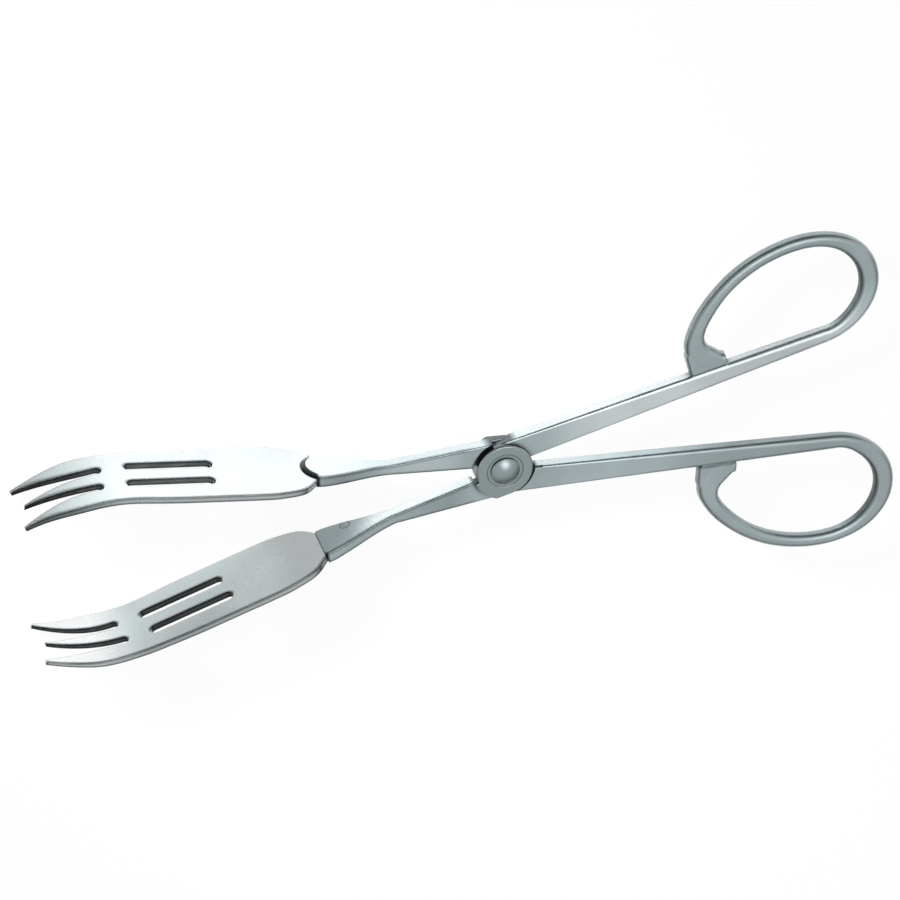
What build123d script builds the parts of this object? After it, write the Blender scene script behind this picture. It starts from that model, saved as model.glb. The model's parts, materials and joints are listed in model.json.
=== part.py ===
from build123d import *
import os
from math import asin, cos, degrees, radians, sin

# Kitchen tongs of the crossed-arm kind, lying flat: fork ends toward -X, finger loops toward +X.
# Two equal arms cross at a rivet. Each arm runs from a pronged fork, through a round boss,
# to a straight handle whose end is bent round into a finger loop and joined back to the handle.
# One arm is worked out in a closed frame, with the rivet axis on Z at the origin and the line
# where the two arms meet on X. The other arm is the same one turned half a turn about X.

# Pose
open_half_angle = 9.08      # turn of each arm away from the closed tongs, degrees
meet_gap_half = 0.4         # handle edge to the closing line
tip_gap_half = 0.35         # tine tip to the closing line

# Bar of the arm
bar_thick = 3.7             # along the rivet axis
handle_root_width = 7.9     # at the boss
handle_edge_round = 0.5     # long edges at the boss
shank_root_inner = 0.55     # fork-side bar at the boss, edge next to the closing line
shank_root_width = 8.2
shank_waist_reach = 33.0    # where the fork-side bar is slimmest, from the rivet
shank_waist_inner = 1.55
shank_waist_width = 3.0
shank_edge_round = 0.4

# Finger loop, along the middle of its bar
loop_reach = 96.5           # centre of the round end, from the rivet
loop_end_radius = 16.05
loop_top_radius = 35.9
loop_foot_radius = 6.8
loop_width = 4.75           # bar width where the handle runs into the round end
loop_thick = 3.6
loop_edge_round = 1.6
loop_top_turn = 79.0        # where the round end runs into the long top arc, degrees
foot_height = 8.1           # middle of the foot end above the closing line
heel_thick = 3.5            # filled corner between the foot and the handle
heel_corner = 1.6           # its corner at the handle, in plan
heel_bend = 3.2             # its other corners, in plan
heel_round = 1.0            # its long edges
heel_sink = 0.6             # how far it reaches into the handle's edge
heel_outer_share = 0.87     # outer side of the heel beyond the foot's middle line, in loop widths
heel_toe_step = 0.4         # its end back from the end of the foot
loop_spot_shares = [(0.0, 1.0, 0.0), (0.2, 1.04, 0.02), (0.4, 1.17, 0.085), (0.6, 1.17, 0.085),
                    (0.8, 1.0, 0.0), (1.0, 0.88, -0.03), (1.2, 0.87, 0.0), (1.4, 0.87, 0.01),
                    (1.6, 0.88, 0.03), (1.8, 0.95, 0.05), (2.0, 1.06, 0.07), (2.25, 1.3, 0.1),
                    (2.45, 1.45, 0.12), (2.65, 1.5, 0.12), (2.82, 1.3, 0.13), (3.0, 0.89, 0.155)]

# Boss and rivet
boss_radius = 8.1
boss_rise = 3.1             # outer face above the middle plane
boss_edge_round = 0.5
boss_split = 0.03           # each boss back from the middle plane
shoulder_radius = 9.2       # the bar stays as high as the boss out to here, on the fork side
relief_reach = 11.2         # filed edge of the handle beside the boss, from the rivet
relief_width = 0.9
recess_clearance = 1.0      # round the other arm's boss
seat_radius = 5.2           # shallow round seat for the rivet head
seat_depth = 0.2
rivet_radius = 2.5
rivet_clearance = 0.05
rivet_end_play = 0.05
head_radius = 4.1
head_wall = 0.45            # upright rim of the head
head_rise = 1.6             # top of the dome above its seat

# Neck of the arm, at the root of the fork
neck_reach = 54.6           # root edge of the fork, from the rivet
neck_width = 11.8
neck_straight = 2.0         # even part of the neck just before the root edge
neck_inner_step = 0.5       # arm stands this much over the fork's inner face
tongue_thick = 0.9          # part of the arm lapped on the fork's outer face
tongue_reach = 3.6
tongue_slope = 1.5          # length of the slope at the tongue's round end
neck_spot_shares = [(0.0, 0.0), (0.2, 0.13), (0.45, 0.45), (0.7, 0.8)]
neck_curve_share = 1.3
dimple_reach = 7.6          # round weld mark on the inner face, back from the root edge
dimple_offset = 3.1
dimple_radius = 1.5
dimple_depth = 0.25

# Fork
fork_root_inner = 3.15      # inner face at the root edge, from the closing line
fork_lean = 4.25            # flat part leans away from the closing line, degrees
sheet_thick = 2.0
fork_length = 81.8
fork_half_width = 12.3
fork_root_half_width = 5.9
flat_length = 50.9          # root edge to the start of the bend
tip_thick = 1.1
fork_edge_round = 0.2
short_edge = 2.5            # shorter edges of the fork stay sharp
slot_length = 25.0
slot_past_bend = 2.3        # far end of the slots beyond the start of the bend
slot_width = 3.5
punch_skew = 1.1            # slot and gap on the +Z side start this much nearer the root
slot_offset = 4.15
gap_past_bend = 8.6         # closed end of the gaps between the tines, beyond the start of the bend
gap_width = 2.9
gap_offset = 4.0
middle_tip = 80.4
middle_tip_half_width = 0.35
side_tip_inner = 8.7
side_tip_outer = 9.55
shoulder_shares = [(0.05, 0.8), (0.12, 0.945)]
side_start_share = 0.22     # the long edges are straight between these two
side_end_share = 0.46
taper_shares = [(0.62, 0.955), (0.74, 0.94), (0.84, 0.945), (0.93, 0.85)]
middle_edge_shares = [(0.45, 0.8), (0.8, 0.42)]
side_edge_shares = [(0.4, 1.0), (0.72, 1.24)]

overrun = 6.0               # how far every cutting tool runs past the material

# Values that follow from the ones above
lean = radians(fork_lean)
root_edge = Vector(-neck_reach, -fork_root_inner, 0)
along_fork = Vector(-cos(lean), -sin(lean), 0)
toward_inside = Vector(-sin(lean), cos(lean), 0)
fork_plan = Plane(origin=root_edge, x_dir=along_fork, z_dir=toward_inside)
fork_side = Plane(origin=root_edge, x_dir=along_fork, z_dir=(0, 0, -1))
recess_radius = boss_radius + recess_clearance
neck_thick = neck_inner_step + sheet_thick + tongue_thick
slot_middle = flat_length + slot_past_bend - slot_length / 2
gap_root = flat_length + gap_past_bend
tip_rise = (fork_root_inner - tip_gap_half + fork_length * sin(lean)) / cos(lean)


def bar_section(middle, heading, width, thick, edge_round):
    """Cross-section of a bar lying in the XY plane, square to its heading."""
    plane = Plane(origin=middle, x_dir=(0, 0, 1), z_dir=heading)
    return plane * RectangleRounded(thick, width, edge_round)


def handle_bar():
    """Straight tapered handle, from under the boss to the start of the loop's round end."""
    ends = ((0, handle_root_width, bar_thick, handle_edge_round),
            (loop_reach, loop_width, loop_thick, loop_edge_round))
    sections = []
    for reach, width, thick, edge_round in ends:
        middle = (reach, meet_gap_half + width / 2, 0)
        sections.append(bar_section(middle, (1, 0, 0), width, thick, edge_round))
    return loft(sections, ruled=True)


def loop_arcs():
    """Centre, radius, start and end angle of the three arcs the loop's bar follows."""
    end_centre = Vector(loop_reach, meet_gap_half + loop_width / 2 + loop_end_radius, 0)
    turn = radians(loop_top_turn)
    inset = loop_top_radius - loop_end_radius
    top_centre = end_centre - Vector(cos(turn), sin(turn), 0) * inset
    foot_inset = loop_top_radius - loop_foot_radius
    foot_rise = foot_height + loop_foot_radius - top_centre.Y
    foot_turn = 180 - degrees(asin(foot_rise / foot_inset))
    foot_way = Vector(cos(radians(foot_turn)), sin(radians(foot_turn)), 0)
    foot_centre = top_centre + foot_way * foot_inset
    return ((end_centre, loop_end_radius, -90, loop_top_turn),
            (top_centre, loop_top_radius, loop_top_turn, foot_turn),
            (foot_centre, loop_foot_radius, foot_turn, 270))


def finger_loop():
    """Bar bent round through the three arcs, its width changing on the way."""
    arcs = loop_arcs()
    sections = []
    for spot, width_share, shift_share in loop_spot_shares:
        index = min(int(spot), len(arcs) - 1)
        centre, radius, start, end = arcs[index]
        angle = radians(start + (end - start) * (spot - index))
        out = Vector(cos(angle), sin(angle), 0)
        heading = Vector(-sin(angle), cos(angle), 0)
        width = loop_width * width_share
        middle = centre + out * (radius + loop_width * shift_share)
        sections.append(bar_section(middle, heading, width, loop_thick, loop_edge_round))
    return loft(sections)


def heel():
    """Filled corner that gives the loop's foot a straight outer side down to the handle."""
    centre = loop_arcs()[2][0]
    left = centre.X - loop_foot_radius - loop_width * heel_outer_share
    right = centre.X - heel_toe_step
    narrowing = (handle_root_width - loop_width) * centre.X / loop_reach
    low = meet_gap_half + handle_root_width - narrowing - heel_sink
    plan = Rectangle(right - left, centre.Y - low)
    corners = plan.vertices().sort_by(Axis.Y)
    low_corner = corners[:2].sort_by(Axis.X)[0]
    plan = fillet(low_corner, heel_corner)
    plan = fillet(plan.vertices().group_by(Axis.Y)[-1], heel_bend)
    block = extrude(plan, heel_thick / 2, both=True)
    rims = block.edges().group_by(Axis.Z)
    block = fillet([*rims[0], *rims[-1]], heel_round)
    block = Pos((left + right) / 2, (low + centre.Y) / 2, 0) * block
    return block - Pos(centre.X, centre.Y, 0) * Cylinder(loop_foot_radius, heel_thick + overrun)


def shank_section(reach, inner, thick_across, width):
    """Section of the fork-side bar, square to X; width is along the rivet axis."""
    plane = Plane(origin=(-reach, -inner - thick_across / 2, 0), x_dir=(0, 0, 1), z_dir=(-1, 0, 0))
    return plane * RectangleRounded(width, thick_across, shank_edge_round)


def shank(depth):
    """Fork-side bar from the boss to its waist; depth is its size along the rivet axis."""
    root = shank_section(0, shank_root_inner, shank_root_width, depth)
    waist = shank_section(shank_waist_reach, shank_waist_inner, shank_waist_width, depth)
    return loft([root, waist], ruled=True)


def neck_end_section(back):
    """Section of the even part of the neck, the given way back from the root edge."""
    middle = root_edge + toward_inside * (neck_inner_step - neck_thick / 2) - along_fork * back
    plane = Plane(origin=middle, x_dir=(0, 0, 1), z_dir=along_fork)
    return plane * RectangleRounded(neck_width, neck_thick, shank_edge_round)


def neck():
    """Flattened and widened part of the arm, between the waist and the even part."""
    inner = fork_root_inner - neck_inner_step
    sections = []
    for share, widening in neck_spot_shares:
        reach = shank_waist_reach + (neck_reach - shank_waist_reach) * share
        edge = shank_waist_inner + (inner - shank_waist_inner) * share ** neck_curve_share
        across = shank_waist_width + (neck_thick - shank_waist_width) * share
        width = bar_thick + (neck_width - bar_thick) * widening
        sections.append(shank_section(reach, edge, across, width))
    sections.append(neck_end_section(neck_straight))
    return loft(sections)


def neck_end():
    """Even part of the neck with its round-ended tongue, lapped on the fork's outer face."""
    half = neck_width / 2
    bar = extrude(neck_end_section(neck_straight), neck_straight + tongue_reach + overrun)
    end_radius = (half ** 2 + tongue_reach ** 2) / (2 * tongue_reach)
    end = Cone(end_radius, end_radius - tongue_slope, tongue_thick)
    end = Pos(tongue_reach - end_radius, 0, -sheet_thick - tongue_thick / 2) * Rot(180, 0, 0) * end
    back = Pos(-overrun, 0, 0) * Box(2 * overrun, 2 * (half + overrun), 2 * (neck_thick + overrun))
    bar = bar & (fork_plan * (end + back))
    rebate = Box(2 * overrun, 2 * (half + overrun), 2 * overrun)
    rebate = Pos(overrun, 0, overrun - sheet_thick) * rebate
    return bar - fork_plan * rebate


def boss():
    """Thick round boss on the front half of the arm."""
    body = Pos(0, 0, boss_split) * extrude(Circle(boss_radius), boss_rise - boss_split)
    return fillet(body.edges().sort_by(Axis.Z)[-1], boss_edge_round)


def shoulder():
    """Root of the fork-side bar, as high as the boss and ending in a step round it."""
    plan = Circle(shoulder_radius) & Rectangle(2 * shoulder_radius, 2 * boss_radius)
    block = Pos(0, 0, boss_split) * extrude(plan, boss_rise - boss_split)
    block = fillet(block.edges().group_by(Axis.Z)[-1], boss_edge_round)
    return shank(2 * boss_rise) & block


def edge_relief():
    """Cutter for the filed inner edge of the handle beside the boss."""
    bevel = Box(2 * relief_reach, relief_width, relief_width)
    return Pos(0, meet_gap_half, -bar_thick / 2) * Rot(45, 0, 0) * bevel


def weld_mark():
    """Cutter for the round weld mark on the inner face of the neck."""
    ball_radius = (dimple_radius ** 2 + dimple_depth ** 2) / (2 * dimple_depth)
    depth = neck_inner_step + ball_radius - dimple_depth
    return fork_plan * Pos(-dimple_reach, -dimple_offset, depth) * Sphere(ball_radius)


def arm():
    """One whole arm with its boss on the +Z side."""
    bars = handle_bar() + shank(bar_thick)
    bars = bars - Pos(0, 0, boss_split) * extrude(Circle(recess_radius), -bar_thick)
    body = bars + boss() + shoulder() + neck() + neck_end() + finger_loop() + heel()
    hole = Cylinder(rivet_radius + rivet_clearance, 2 * boss_rise + overrun)
    seat = Pos(0, 0, boss_rise - seat_depth) * extrude(Circle(seat_radius), overrun)
    return body - hole - seat - edge_relief() - weld_mark()


def fork_profile():
    """Side view of the bent sheet: flat, then curved toward the closing line."""
    run = fork_length - flat_length
    inner_radius = (run ** 2 + tip_rise ** 2) / (2 * tip_rise)
    turn = asin(run / inner_radius)
    tip = (fork_length, tip_rise)
    under_tip = (fork_length + tip_thick * sin(turn), tip_rise - tip_thick * cos(turn))
    inner = TangentArc((flat_length, 0), tip, tangent=(1, 0))
    outer = TangentArc((flat_length, -sheet_thick), under_tip, tangent=(1, 0))
    flat = Polyline((flat_length, -sheet_thick), (0, -sheet_thick), (0, 0), (flat_length, 0))
    end = Line(tip, under_tip)
    return make_face([*flat.edges(), *inner.edges(), *outer.edges(), *end.edges()])


def fork_edge():
    """One long edge of the fork's plan: rounded shoulder, straight side, taper to the tip."""
    side_start = (side_start_share * fork_length, fork_half_width)
    side_end = (side_end_share * fork_length, fork_half_width)
    shoulder = [(along * fork_length, across * fork_half_width) for along, across in shoulder_shares]
    taper = [(along * fork_length, across * fork_half_width) for along, across in taper_shares]
    tip = (fork_length + tip_thick, side_tip_outer)
    rise = (shoulder[0][0], shoulder[0][1] - fork_root_half_width)
    fall = (tip[0] - taper[-1][0], tip[1] - taper[-1][1])
    curves = Spline((0, fork_root_half_width), *shoulder, side_start, tangents=(rise, (1, 0)))
    curves += Line(side_start, side_end)
    return curves + Spline(side_end, *taper, tip, tangents=((1, 0), fall))


def fork_outline():
    """Plan of the fork without its slots and gaps."""
    edge = fork_edge()
    other = mirror(edge, about=Plane.XZ)
    root = Line((0, fork_root_half_width), (0, -fork_root_half_width))
    far = fork_length + tip_thick
    end = Line((far, side_tip_outer), (far, -side_tip_outer))
    return make_face([*edge.edges(), *other.edges(), *root.edges(), *end.edges()])


def tine_gap(closed_end):
    """Plan of one gap between the middle tine and a side tine, open past the tips."""
    half = gap_width / 2
    start = closed_end + half
    run = fork_length - start
    far = fork_length + overrun
    inner_points = [(start, gap_offset - half)]
    for along, across in middle_edge_shares:
        inner_points.append((start + along * (middle_tip - start), across * (gap_offset - half)))
    inner_points.append((middle_tip, middle_tip_half_width))
    outer_points = [(start, gap_offset + half)]
    for along, across in side_edge_shares:
        outer_points.append((start + along * run, across * (gap_offset + half)))
    far_edge = (fork_length + tip_thick, side_tip_inner)
    outer_points.append(far_edge)
    inner = Spline(*inner_points)
    outer = Spline(*outer_points)
    root = ThreePointArc(inner_points[0], (closed_end, gap_offset), outer_points[0])
    past = Polyline(inner_points[-1], (middle_tip + middle_tip_half_width, -tip_thick),
                    (far, -tip_thick), (far, side_tip_inner), far_edge)
    return make_face([*inner.edges(), *outer.edges(), *root.edges(), *past.edges()])


def fork():
    """Bent sheet fork with two long slots and three tapered tines."""
    strip = fork_side * extrude(fork_profile(), fork_half_width + overrun, both=True)
    plan = fork_outline()
    slot = SlotOverall(slot_length, slot_width)
    for side in (1, -1):
        nearer = side * punch_skew / 2
        plan -= Pos(slot_middle - nearer, side * slot_offset) * slot
        gap = tine_gap(gap_root - nearer)
        plan -= gap if side > 0 else mirror(gap, about=Plane.XZ)
    tool = Pos(0, 0, -overrun) * extrude(plan, tip_rise + 2 * overrun)
    body = strip & (fork_plan * tool)
    return fillet([edge for edge in body.edges() if edge.length > short_edge], fork_edge_round)


def rivet_head():
    """Round head with an upright rim and a dome, its flat side on the XY plane."""
    dome = TangentArc((0, head_rise), (head_radius, head_wall), tangent=(1, 0))
    rest = Polyline((head_radius, head_wall), (head_radius, 0), (0, 0), (0, head_rise))
    return revolve(Plane.XZ * make_face([*dome.edges(), *rest.edges()]), Axis.Z)


def rivet():
    """Shank with a head at each end; the front head sits on the front boss."""
    front = boss_rise - seat_depth
    back = front + rivet_end_play
    shank_part = Pos(0, 0, -back) * extrude(Circle(rivet_radius), front + back)
    head = rivet_head()
    return shank_part + Pos(0, 0, front) * head + Pos(0, 0, -back) * Rot(180, 0, 0) * head


def main():
    os.makedirs("parts", exist_ok=True)
    front_turn = Rot(0, 0, open_half_angle)
    rear_turn = Rot(180, 0, 0) * front_turn
    one_arm = arm()
    one_fork = fork()
    nodes = {"front_arm": front_turn * one_arm, "front_fork": front_turn * one_fork,
             "rear_arm": rear_turn * one_arm, "rear_fork": rear_turn * one_fork,
             "pivot_rivet": rivet()}
    box = Compound(list(nodes.values())).bounding_box()
    place = Pos(-box.center().X, -box.center().Y, -box.min.Z)
    for name, shape in nodes.items():
        export_step(place * shape, f"parts/{name}.step")


main()
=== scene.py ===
import json
import math

import bpy
from mathutils import Matrix, Vector

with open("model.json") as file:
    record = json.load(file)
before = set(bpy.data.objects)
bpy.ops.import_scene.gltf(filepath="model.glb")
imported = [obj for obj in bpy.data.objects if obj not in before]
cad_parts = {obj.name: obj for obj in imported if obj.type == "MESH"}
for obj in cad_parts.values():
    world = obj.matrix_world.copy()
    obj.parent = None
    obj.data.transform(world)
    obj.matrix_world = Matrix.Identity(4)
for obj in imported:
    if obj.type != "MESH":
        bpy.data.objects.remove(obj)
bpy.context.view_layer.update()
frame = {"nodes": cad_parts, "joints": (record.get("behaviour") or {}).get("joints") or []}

# Stainless kitchen tongs lying on a pale studio floor. All lengths are in metres, in the frame
# of the loaded model: +X towards the finger loops, +Z up along the rivet.

PIVOT = Vector(frame["joints"][0]["pos_m"])
ARM_TURN = math.radians(9.08)          # turn of each arm off the closed tongs, at rest
FORK_TURN = ARM_TURN + math.radians(4.25)

# Camera, as seen from the rivet
IMAGE_WIDTH = 900                      # pixels
PIXEL = 0.2763e-3                      # size of a pixel at the rivet
PIVOT_PIXEL = (502.2, 465.1)
FOCAL_PIXELS = 7353
SENSOR = 36.0                          # millimetres, as Blender counts it
CLIP = (0.05, 50.0)
CAMERA_RIGHT = Vector((0.9569, -0.0878, 0.277))
CAMERA_BACK = Vector((-0.1797, 0.5702, 0.8016))

# Colours of the steel, and shares of them
ARM_COLOUR = (0.80, 0.865, 0.885)
FORK_COLOUR = (0.858, 0.872, 0.877)
RIVET_COLOUR = (0.83, 0.895, 0.915)
DARK_SHARE = 0.90
LIGHT_SHARE = 1.04
TURNED_SHARE = 0.66                    # on the turned face of the boss
TURNED_COVER = 0.9                     # and how fully it covers what is under it
RED_SHARE = 0.92                       # how much red the steel keeps where its tone is lowest, painted shade included

# Patterns in the steel: scale, detail and, where it isn't the usual one, roughness of a noise
CLOUDS = (55.0, 3.0)
WAVES = (110.0, 1.0)
PATCHES = (420.0, 3.0)
STREAKS = (5200.0, 3.0, 0.65)
LONG_STREAKS = (1300.0, 2.0)
RINGS = (4200.0, 2.0)
STREAK_STRETCH = 33                    # how far the pattern is drawn out along the piece
LONG_STREAK_STRETCH = 50
SCRATCH_STRETCH = 28
SCRATCH_SETS = ((0.35, 900.0, 0.012), (-0.8, 700.0, 0.01))    # turn off the grain, scale, fineness
BREAK_SCALE_SHARE = 0.12               # of the scratches' scale
BREAK_DETAIL = 1.0
BREAK_FADE = (0.5, 0.6)
NARROW = (0.35, 0.65)                  # part of a noise's values that is spread over a whole range
WIDE = (0.3, 0.7)
MIDDLE = 0.5                           # of a noise's values and of a mix

# How much each pattern and mark does to the colour, the roughness and the relief
GRAIN_COVER = 0.6
SCRATCH_COVER = 0.3
PATCH_ROUGH = (-0.02, 0.03)
STREAK_ROUGH = 0.05
SCRATCH_ROUGH = 0.1
WORN_ROUGH = 0.06
GRAIN_HEIGHT = 0.05
PATCH_HEIGHT = 0.05
WAVE_HEIGHT = 2.0
SCRATCH_HEIGHT = 0.1
RELIEF_STRENGTH = 0.6
RELIEF_DEPTH = 0.00003

# A FADE is a soft change: where it starts and where it ends. A TONE is how light the steel is
# there, and 1 is as light as it is elsewhere. First the fades and tones of every piece.
NODE_SAMPLES = 8                       # rays that a node sends out to find edges and corners
WORN_FADE = (0.985, 0.86)              # agreement of the worn edge's normal with the face's
LINE_FADE = (0.9985, 0.975)            # the same for the painted shade line beside an edge
LINE_UPWARD_FADE = (0.02, 0.06)        # share of that edge's normal along Z
# Painted shade in corners and crevices, darkest where least open space is round a point
CORNER_SHADE_REACH = 0.0022
CORNER_SHADE_FADE = (0.4, 0.95)              # share of open space, from a deep corner to an open face, for painted shade in corners
CORNER_SHADE_TONE = 0.25
COOL_SHADE_FADE = (0.78, 0.95)               # tone, from steel that lacks red to steel of full colour; painted shade lowers the tone

# Boss of an arm, measured from the pivot along Z or off its axis
BOSS_TOP_FADE = (0.0022, 0.0024)
BOSS_EDGE_FADE = (0.0094, 0.0091)      # with the shoulder beside it
# The boss's upright wall is painted dark: a painted shade
BOSS_WALL_FADE = (0.0102, 0.0092)
BOSS_WALL_SHADE_TONE = 0.22
BOSS_SHADE_FADE = (0.008, 0.034)             # painted shade on the bar, darkest by the boss and thinning out away from it
BOSS_SHADE_TONE = 0.74

# Faces of an arm
FRONT_FADE = (0.6, 0.9)                # share of the normal along Z, from a side face to a front one
SIDE_FADE = (0.6, 0.4)                 # the same, from a front face to the boss's upright wall, which is painted with shade
# Painted light and shade on an arm's faces, by where they are along X
ROOT_FADE = (0.0035, -0.004)           # on X, from the handle to the bar on the fork's side
NECK_FRONT_FADE = (-0.012, -0.034)     # on X, along the front faces
NECK_SIDE_FADE = (-0.0255, -0.0335)    # on X, along the side faces
ARM_LINE_FADE = (0.005, 0.001)         # on X, where the painted shade line along the edges starts
ARM_LINE_REACH = 0.0014
ARM_EDGE_SHADE_TONE = 0.3

# Finger loop of an arm, measured from the pivot along the handle and across it
HANDLE_EDGE = 0.0083                   # outer edge of the handle's line at the pivot
HANDLE_TAPER = 0.0326                  # how fast that edge comes in along the handle
LOOP_BLEND_FADE = (0.07, 0.09)         # where the handle's tone starts to run out into the loop's painted light and shade
LOOP_BLEND = (0.0006, 0.012)           # how wide the change between them is, at those places
LOOP_START_FADE = (0.05, 0.055)
LOOP_WALL_SHADE_FADE = (-0.2, -0.6)         # share of the normal along X, for walls that face the forks: painted shade
LOOP_WALL_SHADE_REACH = (0.085, 0.11)
LOOP_WALL_SHADE_TONES = (0.6, 0.35)         # painted shade tones at the loop's foot and at its far end
# The seam where the loop's foot is joined on is painted dark: weld scale, with painted shade in its
# groove
SEAM = (0.0574, 0.0677)                # where the loop's foot is joined to the handle, along it
SEAM_END = 0.0001
SEAM_FADE = (0.0005, 0.0002)
SEAM_SCALE_AND_SHADE_TONE = 0.4

# Welds between an arm and its fork
WELD_PLACE = (-0.03358, 0.00954, 0.0031)     # round mark: X, Y and how far off the pivot's Z
WELD_RADIUS = 0.0014
WELD_RIM_FADE = (0.0001, 0.0004)
WELD_RIM_TONE = 0.55
# The tongue's sloped end is painted near black: a painted shade
TONGUE_FADE = (0.97, 0.93)             # share of the normal along the fork's, from flat to sloped
TONGUE_START_FADE = (-0.0405, -0.0412)
TONGUE_SHADE_TONE = 0.06

# Fork
EDGE_FACE_FADE = (0.5, 0.8)            # share of the normal along Z, from a broad face to an edge
HOLE_FADE = (0.0093, 0.0089)           # off the middle plane, where its holes and gaps start
HOLE_END_FADE = (0.45, 0.75)           # share of the normal towards the tips
HOLE_END_START_FADE = (-0.106, -0.103)
# Painted shade on the outer rim and beside the edge, and painted light near the root
RIM_SHADE_TONE = 0.9
FORK_EDGE_SHADE_TONE = 0.3
FORK_ROOT_FADE = (-0.045, -0.085)

# Rivet, with painted shade on the upright rim of its head
RIVET_FADE = (0.2, 0.5)                # share of the normal along Z, from the rim to the dome
RIVET_RIM_SHADE_AND_DOME_TONES = (0.15, 0.74)

# How each piece is finished. grain, clouds and scratches say how strong these are. span is two
# places on X. edge says how far the edges are worn round, tone how light the steel is, a painted
# light and shade along the piece, and rough its roughness, each at those two places.
RIVET_FINISH = {"grain": 0.5, "clouds": 0.5, "scratches": 0.4, "span": (0.0, 0.02),
                "edge": (0.0003, 0.0003), "tone": (1.0, 1.0), "rough": (0.30, 0.30)}
FRONT_ARM_FINISH = {"grain": 1.0, "clouds": 0.5, "scratches": 0.5, "span": (0.062, 0.095),
                    "edge": (0.0004, 0.0009), "tone": (1.0, 0.9), "rough": (0.30, 0.36)}
REAR_ARM_FINISH = {"grain": 1.0, "clouds": 0.5, "scratches": 0.5, "span": (0.03, 0.08),
                   "edge": (0.0004, 0.0009), "tone": (0.86, 0.6), "rough": (0.30, 0.36)}
FRONT_FORK_FINISH = {"grain": 0.35, "clouds": 0.2, "scratches": 0.3, "span": (-0.095, -0.108),
                     "edge": (0.0005, 0.0009), "tone": (0.72, 1.0), "rough": (0.25, 0.25)}
REAR_FORK_FINISH = {"grain": 0.35, "clouds": 0.2, "scratches": 0.3, "span": (-0.096, -0.119),
                    "edge": (0.0005, 0.002), "tone": (0.88, 0.48), "rough": (0.25, 0.28)}

# The two halves: the side of the closing line that their fork is on, their finishes, and the tones
# of their marks, by name, which are mostly painted light and shade. line isn't a tone: it is how far
# the painted shade line beside an edge reaches, at the two places of the fork's span.
HALVES = {
    "front": {"side": -1, "arm": FRONT_ARM_FINISH, "fork": FRONT_FORK_FINISH,
              "arm_marks": {"root": 0.7, "neck_front": 1.0, "neck_side": 0.6, "loop": 0.68},
              "fork_marks": {"root": 1.25, "hole": (0.05, 0.22), "line": (0.0013, 0.0013)}},
    "rear": {"side": 1, "arm": REAR_ARM_FINISH, "fork": REAR_FORK_FINISH,
             "arm_marks": {"root": 1.15, "neck_front": 0.6, "neck_side": 1.1, "loop": 1.05},
             "fork_marks": {"root": 1.0, "hole": (0.12, 0.42), "line": (0.0013, 0.0035)}},
}

# Floor
FLOOR_HALF = 3.0
FLOOR_NOISE = (6.0, 2.0)               # scale and detail
FLOOR_GREYS = (0.84, 0.87)
FLOOR_SEEN = 0.93                      # share of plain white that the camera sees
FLOOR_MIRRORED = 0.22                  # and that the steel mirrors

# Surround: how bright it is to the front, to the back, and how much is left of it at floor level
FRONT_GLOW = 0.64
BACK_GLOW = 0.07
LOW_SHARE = 0.08
DEPTH_FADE = (0.25, 0.85)
LEVEL_FADE = (0.02, 0.75)

# Soft lamps aimed at the rivet: place from there, size, how bright its face is, and whether the
# steel mirrors it
LAMPS = {
    "back_lamp": ((-0.15, 1.0, 0.72), (0.7, 0.7), 3.0, False),
    "top_lamp": ((0.2, 0.1, 1.1), (0.6, 0.5), 1.8, True),
    "left_lamp": ((-1.3, 0.1, 0.45), (0.6, 0.5), 0.8, True),
    "right_lamp": ((1.3, 0.1, 0.45), (0.6, 0.5), 0.8, True),
}

# Spot lamp for the floor about the forks and the pivot, placed and aimed from the rivet
POOL_PLACE = Vector((-0.42, 0.60, 0.34))
POOL_AIM = Vector((-0.05, 0.015, -0.012))
POOL_ANGLE = math.radians(26)
POOL_RADIUS = 0.1
POOL_POWER = 58.0                      # watts


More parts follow.
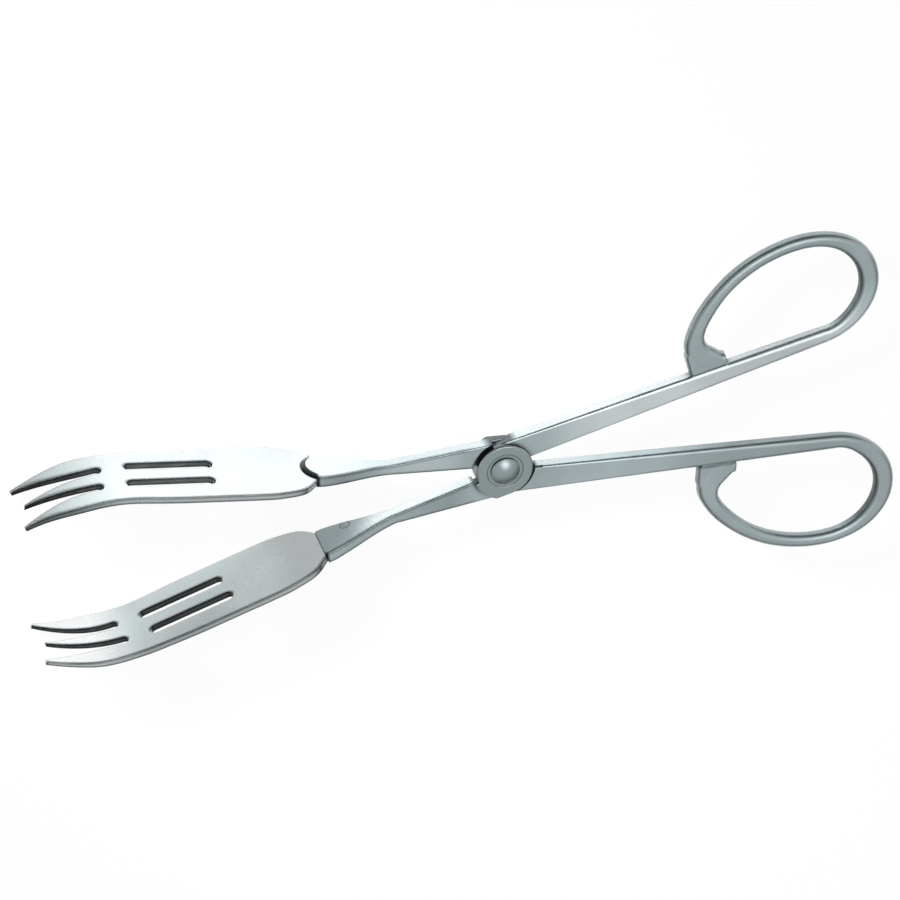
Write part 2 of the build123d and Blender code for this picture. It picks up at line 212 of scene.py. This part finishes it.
class Shader:
    """The node tree of a material or of the world, with short calls to add nodes and join them."""

    def __init__(self, owner):
        owner.use_nodes = True
        self.tree = owner.node_tree
        self.tree.nodes.clear()

    def node(self, kind, settings=None, **inputs):
        made = self.tree.nodes.new(kind)
        for key, value in (settings or {}).items():
            setattr(made, key, value)
        for key, value in inputs.items():
            self.feed(made.inputs[key.replace("_", " ")], value)
        return made

    def feed(self, socket, value):
        if isinstance(value, bpy.types.NodeSocket):
            self.tree.links.new(value, socket)
        else:
            socket.default_value = value

    def math(self, operation, first, second=0.0, clamp=False):
        made = self.node("ShaderNodeMath", {"operation": operation, "use_clamp": clamp})
        self.feed(made.inputs[0], first)
        self.feed(made.inputs[1], second)
        return made.outputs[0]

    def vector_math(self, operation, first, second=(0, 0, 0)):
        """The node, because the answer is a vector for some operations and a number for others."""
        made = self.node("ShaderNodeVectorMath", {"operation": operation})
        self.feed(made.inputs[0], first)
        self.feed(made.inputs[1], second)
        return made

    def product(self, first, *others):
        for other in others:
            first = self.math("MULTIPLY", first, other)
        return first

    def range(self, value, from_low, from_high, to_low, to_high, kind="LINEAR"):
        """The value carried from one range of numbers over to another, and held at its ends."""
        made = self.node("ShaderNodeMapRange", {"clamp": True, "interpolation_type": kind})
        for index, number in enumerate((value, from_low, from_high, to_low, to_high)):
            self.feed(made.inputs[index], number)
        return made.outputs[0]

    def mask(self, value, fade):
        """0 where the fade starts and 1 where it ends."""
        return self.range(value, *fade, 0.0, 1.0)

    def toned(self, mask, tone):
        """1 off the mask and the tone on it."""
        return self.range(mask, 0.0, 1.0, 1.0, tone)

    def mix_colour(self, share, first, second, blend="MIX"):
        made = self.node("ShaderNodeMix", {"data_type": "RGBA", "blend_type": blend})
        self.feed(made.inputs[0], share)
        self.feed(made.inputs[6], first)
        self.feed(made.inputs[7], second)
        return made.outputs[2]

    def noise(self, vector, scale, detail, roughness=0.5):
        made = self.node("ShaderNodeTexNoise", None, Vector=vector, Scale=scale, Detail=detail,
                         Roughness=roughness)
        return made.outputs[0]

    def drawn_out(self, vector, turn, factor):
        """The place, for a pattern drawn out by that factor along a line turned off the X axis."""
        made = self.node("ShaderNodeMapping", {"vector_type": "TEXTURE"}, Vector=vector)
        made.inputs["Rotation"].default_value = (0, 0, turn)
        made.inputs["Scale"].default_value = (factor, 1, 1)
        return made.outputs[0]

    def split_up(self, vector):
        """The X, Y and Z of a vector, by name."""
        return self.node("ShaderNodeSeparateXYZ", None, Vector=vector).outputs

    def share_along(self, vector, way):
        """How far a vector points along a way: for a normal, 1 is fully and 0 is square to it."""
        return self.vector_math("DOT_PRODUCT", vector, way).outputs["Value"]


def opaque(colour, share=1.0):
    """The colour lightened or darkened by a share, for a socket that takes four numbers."""
    return (*(min(part * share, 1.0) for part in colour), 1.0)


def scratch_lines(shader, vector, turn, scale, fineness):
    """Thin lines, mostly one way, with breaks in them. 1 on a line and 0 off it."""
    field = shader.noise(shader.drawn_out(vector, turn, SCRATCH_STRETCH), scale, 0.0)
    off_line = shader.math("ABSOLUTE", shader.math("SUBTRACT", field, MIDDLE))
    line = shader.range(off_line, 0.0, fineness, 1.0, 0.0)
    breaks = shader.noise(vector, scale * BREAK_SCALE_SHARE, BREAK_DETAIL)
    return shader.product(line, shader.mask(breaks, BREAK_FADE))


def edge_shade_line(shader, reach):
    """1 along the edges whose rounding points up along Z and 0 off them: where a painted shade line
    goes.
    """
    bevel = shader.node("ShaderNodeBevel", {"samples": NODE_SAMPLES}, Radius=reach).outputs[0]
    face = shader.node("ShaderNodeNewGeometry").outputs["Normal"]
    line = shader.mask(shader.share_along(bevel, face), LINE_FADE)
    return shader.product(line, shader.mask(shader.split_up(bevel)["Z"], LINE_UPWARD_FADE))


def on_raised_boss(shader, at):
    """1 on the raised round boss with its shoulder and 0 off it."""
    height = shader.math("ABSOLUTE", shader.split_up(at["centred"])["Z"])
    near = shader.mask(at["distance"], BOSS_EDGE_FADE)
    return shader.product(near, shader.mask(height, BOSS_TOP_FADE))


def face_marks(shader, at, marks):
    """Painted shade round the boss on an arm's front faces, and painted light and shade on all its
    faces towards the neck.
    """
    front_faced = shader.mask(at["across"], FRONT_FADE)
    # painted light and shade at the root and along the neck
    root = shader.range(at["place"]["X"], *ROOT_FADE, 1.0, marks["root"])
    # painted shade round the boss
    boss_shade = shader.range(at["distance"], *BOSS_SHADE_FADE, BOSS_SHADE_TONE, 1.0)
    front = shader.range(at["place"]["X"], *NECK_FRONT_FADE, 1.0, marks["neck_front"])
    side = shader.range(at["place"]["X"], *NECK_SIDE_FADE, 1.0, marks["neck_side"])
    return shader.range(front_faced, 0.0, 1.0, side, shader.product(root, boss_shade, front))


def loop_marks(shader, at, marks):
    """Painted light and shade on the finger loop, painted shade on its walls, and the dark seam where
    its foot is joined on: weld scale with painted shade in its groove.
    """
    along = shader.share_along(at["centred"], marks["handle"])
    past_handle = shader.math("ADD", shader.share_along(at["centred"], marks["across"]),
                              shader.math("MULTIPLY", along, HANDLE_TAPER))
    past_handle = shader.math("SUBTRACT", past_handle, HANDLE_EDGE)
    # painted light and shade over the loop, past the handle's edge
    blend = shader.range(along, *LOOP_BLEND_FADE, *LOOP_BLEND)
    loop = shader.range(past_handle, 0.0, blend, 1.0, marks["loop"])

    # painted shade on the loop's walls that face the forks
    facing_forks = shader.mask(shader.split_up(at["normal"])["X"], LOOP_WALL_SHADE_FADE)
    shaded_walls = shader.product(facing_forks, shader.mask(along, LOOP_START_FADE))
    wall_shade_tone = shader.range(along, *LOOP_WALL_SHADE_REACH, *LOOP_WALL_SHADE_TONES)

    # dark line along the seam: weld scale and painted shade in its groove
    seam = shader.mask(shader.math("ABSOLUTE", past_handle), SEAM_FADE)
    for end, inward in zip(SEAM, (SEAM_END, -SEAM_END)):
        seam = shader.product(seam, shader.mask(along, (end - inward, end + inward)))
    return shader.product(loop, shader.toned(shaded_walls, wall_shade_tone), shader.toned(seam, SEAM_SCALE_AND_SHADE_TONE))


def weld_marks(shader, at, marks):
    """The rim of the round weld mark on the neck, and painted shade where the tongue slopes to the
    fork.
    """
    to_weld = shader.vector_math("DISTANCE", at["where"], marks["weld"]).outputs["Value"]
    off_rim = shader.math("ABSOLUTE", shader.math("SUBTRACT", to_weld, WELD_RADIUS))
    rim = shader.range(off_rim, *WELD_RIM_FADE, WELD_RIM_TONE, 1.0)
    # painted shade where the tongue slopes to the fork
    facing = shader.math("ABSOLUTE", shader.share_along(at["normal"], marks["out"]))
    tongue = shader.product(shader.mask(facing, TONGUE_FADE),
                            shader.mask(at["place"]["X"], TONGUE_START_FADE))
    return shader.product(rim, shader.toned(tongue, TONGUE_SHADE_TONE))


def arm_marks(shader, at, marks):
    """How light an arm is by all its marks, mostly painted light and shade."""
    # painted shade on the boss's upright wall
    boss_wall_shade = shader.product(shader.mask(at["distance"], BOSS_WALL_FADE),
                          shader.mask(at["across"], SIDE_FADE))
    # painted shade line beside the upward edges
    edge_shade_tone = shader.range(at["place"]["X"], *ARM_LINE_FADE, 1.0, ARM_EDGE_SHADE_TONE)
    line = shader.toned(edge_shade_line(shader, ARM_LINE_REACH), edge_shade_tone)
    return shader.product(face_marks(shader, at, marks), loop_marks(shader, at, marks), line,
                          shader.toned(boss_wall_shade, BOSS_WALL_SHADE_TONE), weld_marks(shader, at, marks))


def fork_marks(shader, at, marks):
    """How light a fork is by its marks: darker walls in its holes, painted shade on its outer rim and
    beside its edge, and painted light near its root.
    """
    upright = shader.mask(at["across"], EDGE_FACE_FADE)
    off_middle = shader.math("ABSOLUTE", shader.math("SUBTRACT", at["place"]["Z"], PIVOT.z))
    inner = shader.mask(off_middle, HOLE_FADE)
    # darker walls in the holes and gaps
    end_wall = shader.product(
        shader.mask(shader.share_along(at["normal"], marks["tipward"]), HOLE_END_FADE),
        shader.mask(at["place"]["X"], HOLE_END_START_FADE))
    hole = shader.product(shader.math("MAXIMUM", upright, end_wall), inner)
    in_hole = shader.range(at["streaks"], *NARROW, *marks["hole"])
    # painted shade on the outer rim
    rim = shader.product(upright, shader.math("SUBTRACT", 1.0, inner))
    # how far the painted shade line beside the edge reaches
    reach = shader.range(at["place"]["X"], *marks["span"], *marks["line"])
    # painted light near the root
    root = shader.range(at["place"]["X"], *FORK_ROOT_FADE, marks["root"], 1.0)
    return shader.product(shader.toned(hole, in_hole), shader.toned(rim, RIM_SHADE_TONE),
                          shader.toned(edge_shade_line(shader, reach), FORK_EDGE_SHADE_TONE), root)


def rivet_marks(shader, at, marks):
    """How light the rivet is by its marks: painted shade on the upright rim of its head."""
    return shader.range(at["across"], *RIVET_FADE, *marks["tones"])


def steel_places(shader, turn, finish):
    """Where a point of the steel is, which way it faces, and the patterns there, by name.

    centred is its place as seen from the pivot, distance how far it is off the pivot's axis, and
    across the share of its normal along Z.
    """
    coordinates = shader.node("ShaderNodeTexCoord")
    where = coordinates.outputs["Object"]
    centred = shader.vector_math("SUBTRACT", where, PIVOT).outputs[0]
    flat = shader.vector_math("MULTIPLY", centred, (1, 1, 0)).outputs[0]
    normal = coordinates.outputs["Normal"]
    at = {"where": where, "place": shader.split_up(where), "centred": centred,
          "distance": shader.vector_math("LENGTH", flat).outputs["Value"], "normal": normal,
          "across": shader.math("ABSOLUTE", shader.split_up(normal)["Z"])}

    streak_place = shader.drawn_out(where, turn, STREAK_STRETCH)
    at["streaks"] = shader.noise(streak_place, *STREAKS)
    long_place = shader.drawn_out(where, turn, LONG_STREAK_STRETCH)
    at["long_streaks"] = shader.noise(long_place, *LONG_STREAKS)
    at["patches"] = shader.noise(where, *PATCHES)
    scratch_sets = [scratch_lines(shader, where, turn + off, scale, fineness)
                    for off, scale, fineness in SCRATCH_SETS]
    at["lines"] = shader.math("MAXIMUM", *scratch_sets)

    at["on_boss"] = on_raised_boss(shader, at)
    ring_place = shader.node("ShaderNodeCombineXYZ", None, X=at["distance"]).outputs[0]
    rings = shader.product(shader.noise(ring_place, *RINGS), at["on_boss"])
    off_boss = shader.math("SUBTRACT", 1.0, at["on_boss"])
    at["grain"] = shader.math("ADD", shader.product(at["streaks"], off_boss), rings)

    radius = shader.range(at["place"]["X"], *finish["span"], *finish["edge"])
    bevel = shader.node("ShaderNodeBevel", {"samples": NODE_SAMPLES}, Radius=radius)
    at["worn_normal"] = bevel.outputs[0]
    face = shader.node("ShaderNodeNewGeometry").outputs["Normal"]
    at["worn"] = shader.mask(shader.share_along(at["worn_normal"], face), WORN_FADE)
    return at


def steel_colour(shader, at, colour, finish, marks):
    """Clouded, brushed and scratched steel, with painted shade in its corners, and lighter or darker
    where its marks are, most of them painted light and shade.
    """
    dark, light = opaque(colour, DARK_SHARE), opaque(colour, LIGHT_SHARE)
    spread = finish["clouds"]
    clouds = shader.noise(at["where"], *CLOUDS)
    clouds = shader.range(clouds, *NARROW, MIDDLE - spread, MIDDLE + spread)
    base = shader.mix_colour(clouds, dark, light)
    grain = shader.range(at["grain"], *WIDE, 0.0, GRAIN_COVER * spread)
    base = shader.mix_colour(grain, base, dark)
    lines = shader.math("MULTIPLY", at["lines"], SCRATCH_COVER * finish["scratches"])
    base = shader.mix_colour(lines, base, light)
    turned = shader.math("MULTIPLY", at["on_boss"], TURNED_COVER)
    base = shader.mix_colour(turned, base, opaque(colour, TURNED_SHARE))

    # painted light and shade along the piece, from its finish's tones
    tone = shader.range(at["place"]["X"], *finish["span"], *finish["tone"])
    # painted shade in corners, from the open space round each point
    corner_shade = shader.node("ShaderNodeAmbientOcclusion", {"samples": NODE_SAMPLES, "only_local": True},
                         Distance=CORNER_SHADE_REACH)
    corner_shade = shader.range(corner_shade.outputs["AO"], *CORNER_SHADE_FADE, CORNER_SHADE_TONE, 1.0)
    call, values = marks
    tone = shader.product(tone, corner_shade, call(shader, at, values))
    # steel toned down, by painted shade as well, loses some red
    red = shader.product(tone, shader.range(tone, *COOL_SHADE_FADE, RED_SHARE, 1.0))
    tint = shader.node("ShaderNodeCombineColor", None, Red=red, Green=tone, Blue=tone)
    return shader.mix_colour(1.0, base, tint.outputs[0], "MULTIPLY")


def steel_roughness(shader, at, finish):
    """Rougher on scratches and in patches, smoother on worn edges."""
    spread = STREAK_ROUGH * finish["clouds"]
    rough = shader.range(at["place"]["X"], *finish["span"], *finish["rough"])
    rough = shader.math("ADD", rough, shader.range(at["patches"], *WIDE, *PATCH_ROUGH))
    rough = shader.math("ADD", rough, shader.range(at["long_streaks"], *WIDE, -spread, spread))
    lines = shader.math("MULTIPLY", at["lines"], SCRATCH_ROUGH * finish["scratches"])
    rough = shader.math("ADD", rough, lines)
    worn = shader.math("MULTIPLY", at["worn"], WORN_ROUGH)
    return shader.math("SUBTRACT", rough, worn, clamp=True)


def steel_relief(shader, at, finish):
    """Normal of the steel: rounded edges, with grain, patches, soft waves and scratches."""
    height = shader.math("MULTIPLY", at["grain"], GRAIN_HEIGHT * finish["grain"])
    patches = shader.math("MULTIPLY", at["patches"], PATCH_HEIGHT * finish["grain"])
    height = shader.math("ADD", height, patches)
    waves = shader.noise(at["where"], *WAVES)
    waves = shader.math("MULTIPLY", waves, WAVE_HEIGHT * finish["clouds"])
    height = shader.math("ADD", height, waves)
    lines = shader.math("MULTIPLY", at["lines"], SCRATCH_HEIGHT * finish["scratches"])
    height = shader.math("SUBTRACT", height, lines)
    bump = shader.node("ShaderNodeBump", None, Strength=RELIEF_STRENGTH, Distance=RELIEF_DEPTH,
                       Height=height, Normal=at["worn_normal"])
    return bump.outputs[0]


def steel(name, colour, turn, finish, marks):
    """Satin stainless steel with its grain turned off the X axis.

    marks is a call that gives how light the steel is by its marks, mostly painted light and shade,
    and the values it needs.
    """
    material = bpy.data.materials.new(name)
    shader = Shader(material)
    at = steel_places(shader, turn, finish)
    surface = shader.node("ShaderNodeBsdfPrincipled", None, Metallic=1.0,
                          Base_Color=steel_colour(shader, at, colour, finish, marks),
                          Roughness=steel_roughness(shader, at, finish),
                          Normal=steel_relief(shader, at, finish))
    shader.node("ShaderNodeOutputMaterial", None, Surface=surface.outputs[0])
    return material


def dress(node, material):
    """Gives a node of the frame its material."""
    piece = frame["nodes"][node]
    piece.data.materials.clear()
    piece.data.materials.append(material)


def dress_arm(name, half):
    """handle, across and out are ways along the handle, across it, and out of the fork's face."""
    side = half["side"]
    marks = {"handle": (math.cos(ARM_TURN), -side * math.sin(ARM_TURN), 0),
             "across": (-math.sin(ARM_TURN), -side * math.cos(ARM_TURN), 0),
             "out": (math.sin(FORK_TURN), side * math.cos(FORK_TURN), 0),
             "weld": (WELD_PLACE[0], side * WELD_PLACE[1], PIVOT.z + side * WELD_PLACE[2]),
             **half["arm_marks"]}
    material = steel(f"{name}_arm_steel", ARM_COLOUR, -side * ARM_TURN, half["arm"],
                     (arm_marks, marks))
    dress(f"{name}_arm", material)


def dress_fork(name, half):
    side = half["side"]
    marks = {"tipward": (-math.cos(FORK_TURN), side * math.sin(FORK_TURN), 0),
             "span": half["fork"]["span"], **half["fork_marks"]}
    material = steel(f"{name}_fork_steel", FORK_COLOUR, -side * FORK_TURN, half["fork"],
                     (fork_marks, marks))
    dress(f"{name}_fork", material)


def dress_all():
    for name, half in HALVES.items():
        dress_arm(name, half)
        dress_fork(name, half)
    marks = (rivet_marks, {"tones": RIVET_RIM_SHADE_AND_DOME_TONES})
    dress("pivot_rivet", steel("rivet_steel", RIVET_COLOUR, 0.0, RIVET_FINISH, marks))


def floor_material():
    """Pale matt floor that reads as white and keeps a soft shadow."""
    material = bpy.data.materials.new("pale_floor")
    shader = Shader(material)
    where = shader.node("ShaderNodeTexCoord").outputs["Object"]
    tone = shader.mask(shader.noise(where, *FLOOR_NOISE), WIDE)
    low, high = (opaque((grey, grey, grey)) for grey in FLOOR_GREYS)
    matt = shader.node("ShaderNodeBsdfDiffuse", None, Color=shader.mix_colour(tone, low, high))
    glow = shader.node("ShaderNodeEmission", None, Strength=1.0)
    path = shader.node("ShaderNodeLightPath").outputs
    seen = shader.math("MULTIPLY", path["Is Camera Ray"], FLOOR_SEEN)
    mirrored = shader.math("MULTIPLY", path["Is Glossy Ray"], FLOOR_MIRRORED)
    mix = shader.node("ShaderNodeMixShader")
    shader.feed(mix.inputs[0], shader.math("MAXIMUM", seen, mirrored))
    shader.feed(mix.inputs[1], matt.outputs[0])
    shader.feed(mix.inputs[2], glow.outputs[0])
    shader.node("ShaderNodeOutputMaterial", None, Surface=mix.outputs[0])
    return material


def make_floor():
    mesh = bpy.data.meshes.new("floor")
    corners = [(-FLOOR_HALF, -FLOOR_HALF, 0), (FLOOR_HALF, -FLOOR_HALF, 0),
               (FLOOR_HALF, FLOOR_HALF, 0), (-FLOOR_HALF, FLOOR_HALF, 0)]
    mesh.from_pydata(corners, [], [(0, 1, 2, 3)])
    floor = bpy.data.objects.new("floor", mesh)
    floor.data.materials.append(floor_material())
    bpy.context.scene.collection.objects.link(floor)


def make_world():
    """Soft studio surround: light to the front, dim to the back and low down, white to the camera."""
    world = bpy.data.worlds.new("studio")
    bpy.context.scene.world = world
    shader = Shader(world)
    way = shader.split_up(shader.node("ShaderNodeTexCoord").outputs["Generated"])
    depth = shader.range(way["Y"], *DEPTH_FADE, FRONT_GLOW, BACK_GLOW, "SMOOTHSTEP")
    level = shader.range(way["Z"], *LEVEL_FADE, LOW_SHARE, 1.0, "SMOOTHSTEP")
    seen = shader.node("ShaderNodeLightPath").outputs["Is Camera Ray"]
    strength = shader.math("MAXIMUM", shader.product(depth, level), seen)
    background = shader.node("ShaderNodeBackground", None, Color=opaque((1, 1, 1)), Strength=strength)
    shader.node("ShaderNodeOutputWorld", None, Surface=background.outputs[0])


def hang_lamp(name, lamp, place, way):
    """Puts a lamp at its place from the rivet, pointing along a way."""
    piece = bpy.data.objects.new(name, lamp)
    bpy.context.scene.collection.objects.link(piece)
    piece.location = PIVOT + place
    piece.rotation_mode = "QUATERNION"
    piece.rotation_quaternion = way.to_track_quat("-Z", "Y")
    return piece


def make_pool_lamp():
    pool = bpy.data.lights.new("pool_lamp", "SPOT")
    pool.energy = POOL_POWER
    pool.spot_size = POOL_ANGLE
    pool.spot_blend = 1.0
    pool.shadow_soft_size = POOL_RADIUS
    hang_lamp("pool_lamp", pool, POOL_PLACE, POOL_AIM - POOL_PLACE).visible_glossy = False


def make_lamps():
    make_pool_lamp()
    for name, (place, size, glow, mirrored) in LAMPS.items():
        lamp = bpy.data.lights.new(name, "AREA")
        lamp.shape = "RECTANGLE"
        lamp.size, lamp.size_y = size
        lamp.energy = glow * math.pi * size[0] * size[1]
        hang_lamp(name, lamp, Vector(place), -Vector(place)).visible_glossy = mirrored


def make_camera():
    """Camera at the photograph's viewing angle, with the rivet at its place in the picture."""
    back = CAMERA_BACK.normalized()
    right = (CAMERA_RIGHT - back * CAMERA_RIGHT.dot(back)).normalized()
    up = back.cross(right)
    place = PIVOT + back * FOCAL_PIXELS * PIXEL
    half = IMAGE_WIDTH / 2
    aim = PIVOT + right * (half - PIVOT_PIXEL[0]) * PIXEL + up * (PIVOT_PIXEL[1] - half) * PIXEL
    back = (place - aim).normalized()
    right = (right - back * right.dot(back)).normalized()
    up = back.cross(right)
    camera = bpy.data.cameras.new("camera")
    camera.sensor_width = SENSOR
    camera.lens = FOCAL_PIXELS / IMAGE_WIDTH * SENSOR
    camera.clip_start, camera.clip_end = CLIP
    piece = bpy.data.objects.new("camera", camera)
    bpy.context.scene.collection.objects.link(piece)
    turn = Matrix((right, up, back)).transposed().to_4x4()
    piece.matrix_world = Matrix.Translation(place) @ turn
    bpy.context.scene.camera = piece


dress_all()
make_floor()
make_world()
make_lamps()
make_camera()
bpy.context.scene.view_settings.view_transform = "Standard"
